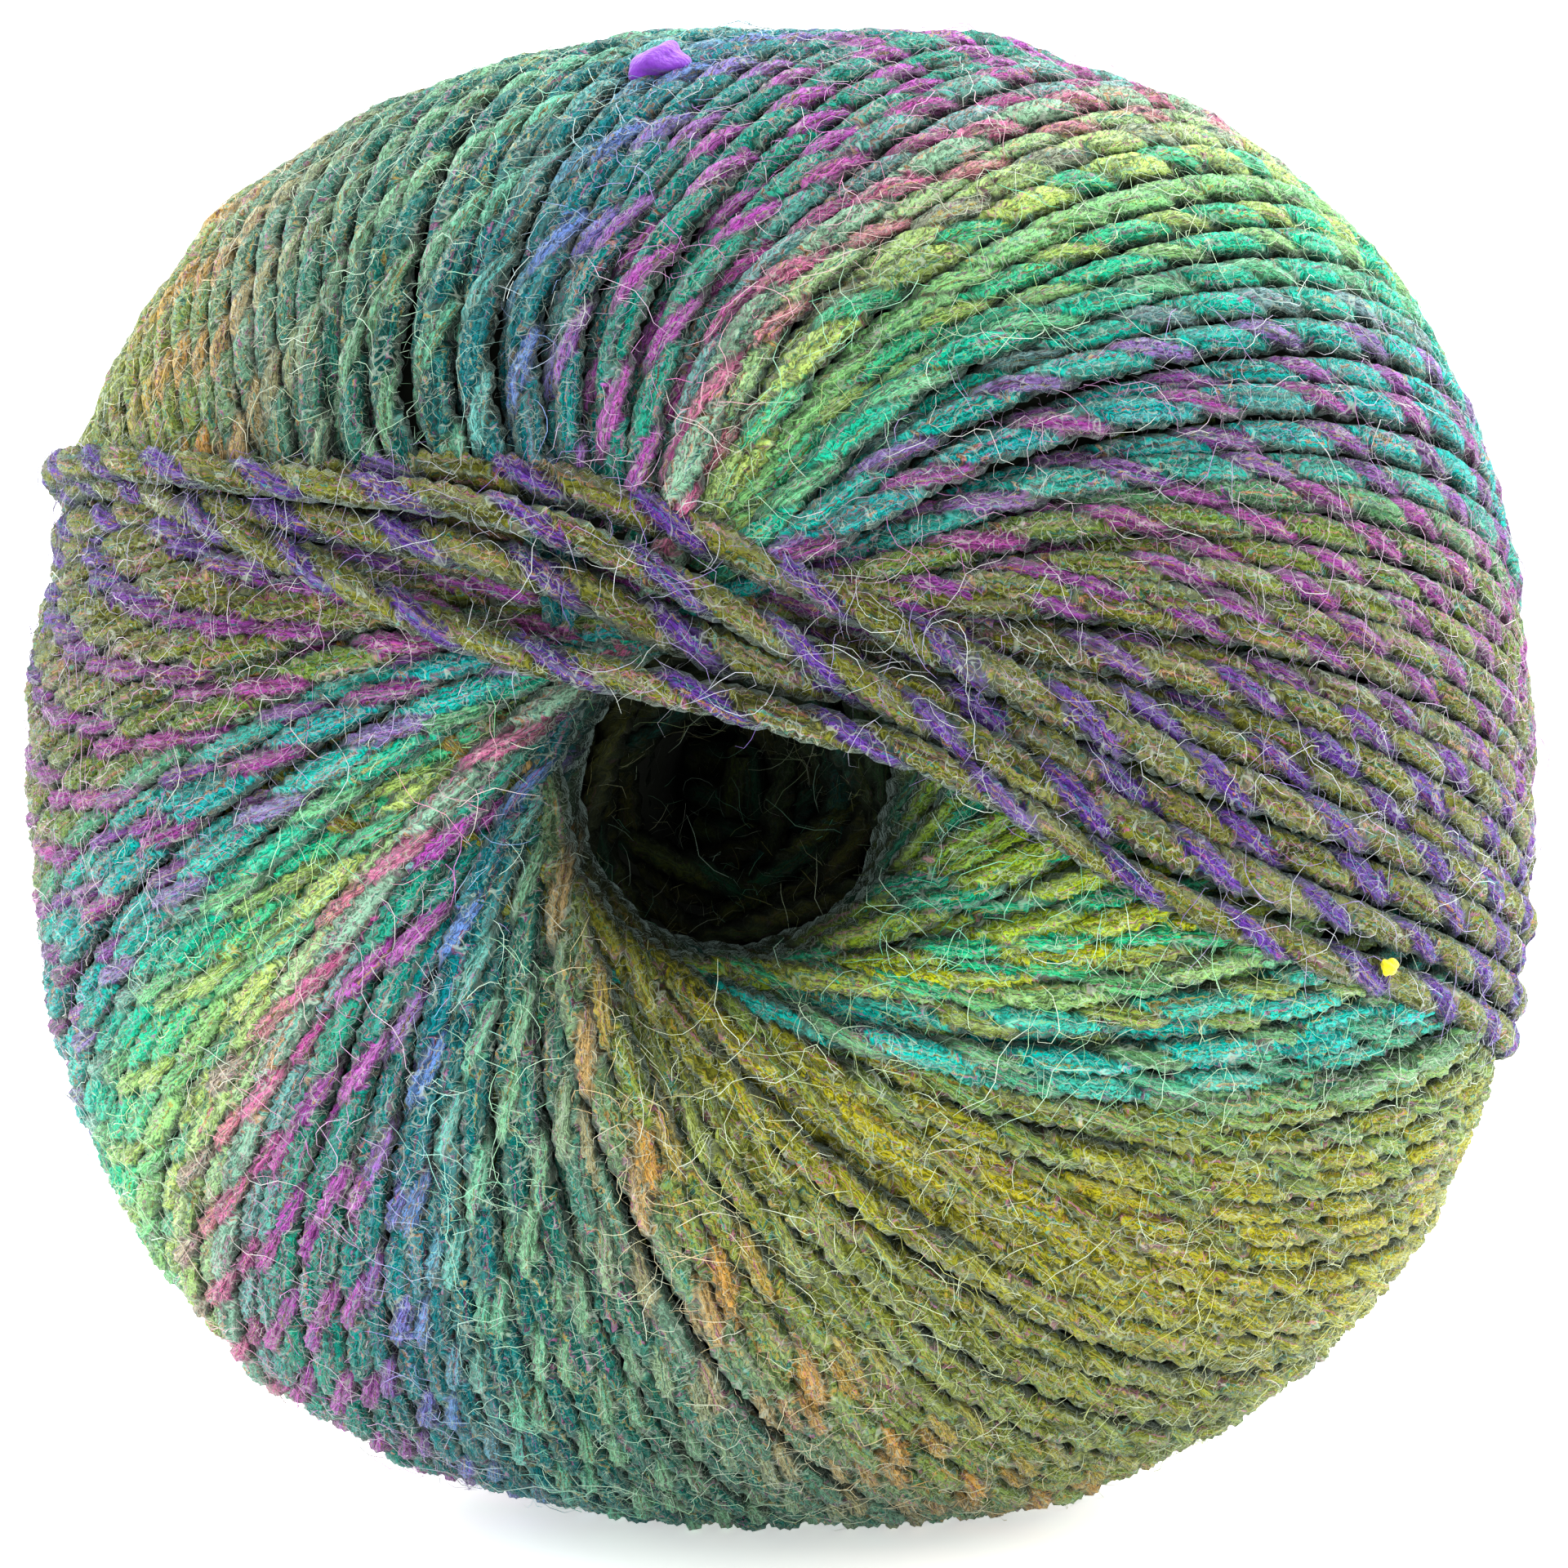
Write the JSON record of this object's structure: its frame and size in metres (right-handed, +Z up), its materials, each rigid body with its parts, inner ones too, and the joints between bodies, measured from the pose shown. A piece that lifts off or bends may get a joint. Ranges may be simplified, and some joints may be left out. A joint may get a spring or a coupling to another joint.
{
  "type": "ball of chunky yarn",
  "caption": "Machine-wound ball of chunky two-ply wool yarn with an open centre hole, a raised band of last turns over the hole and a small flat spot to rest on.",
  "frame": {"origin": "bottom centre of the ball, on the flat spot it rests on", "axes": "+Z up, the centre hole runs along Y and its open mouth faces -Y, +X to the right of that mouth"},
  "size_m": [0.1349, 0.1272, 0.1328],
  "materials": {
    "dyed_wool": "soft matt two-ply wool in long blended stripes of olive, purple, turquoise, mint, pink, teal and sage, with a pale fuzzy halo"
  },
  "bodies": {
    "root": {"yarn_ball": "dyed_wool"}
  },
  "joints": []
}
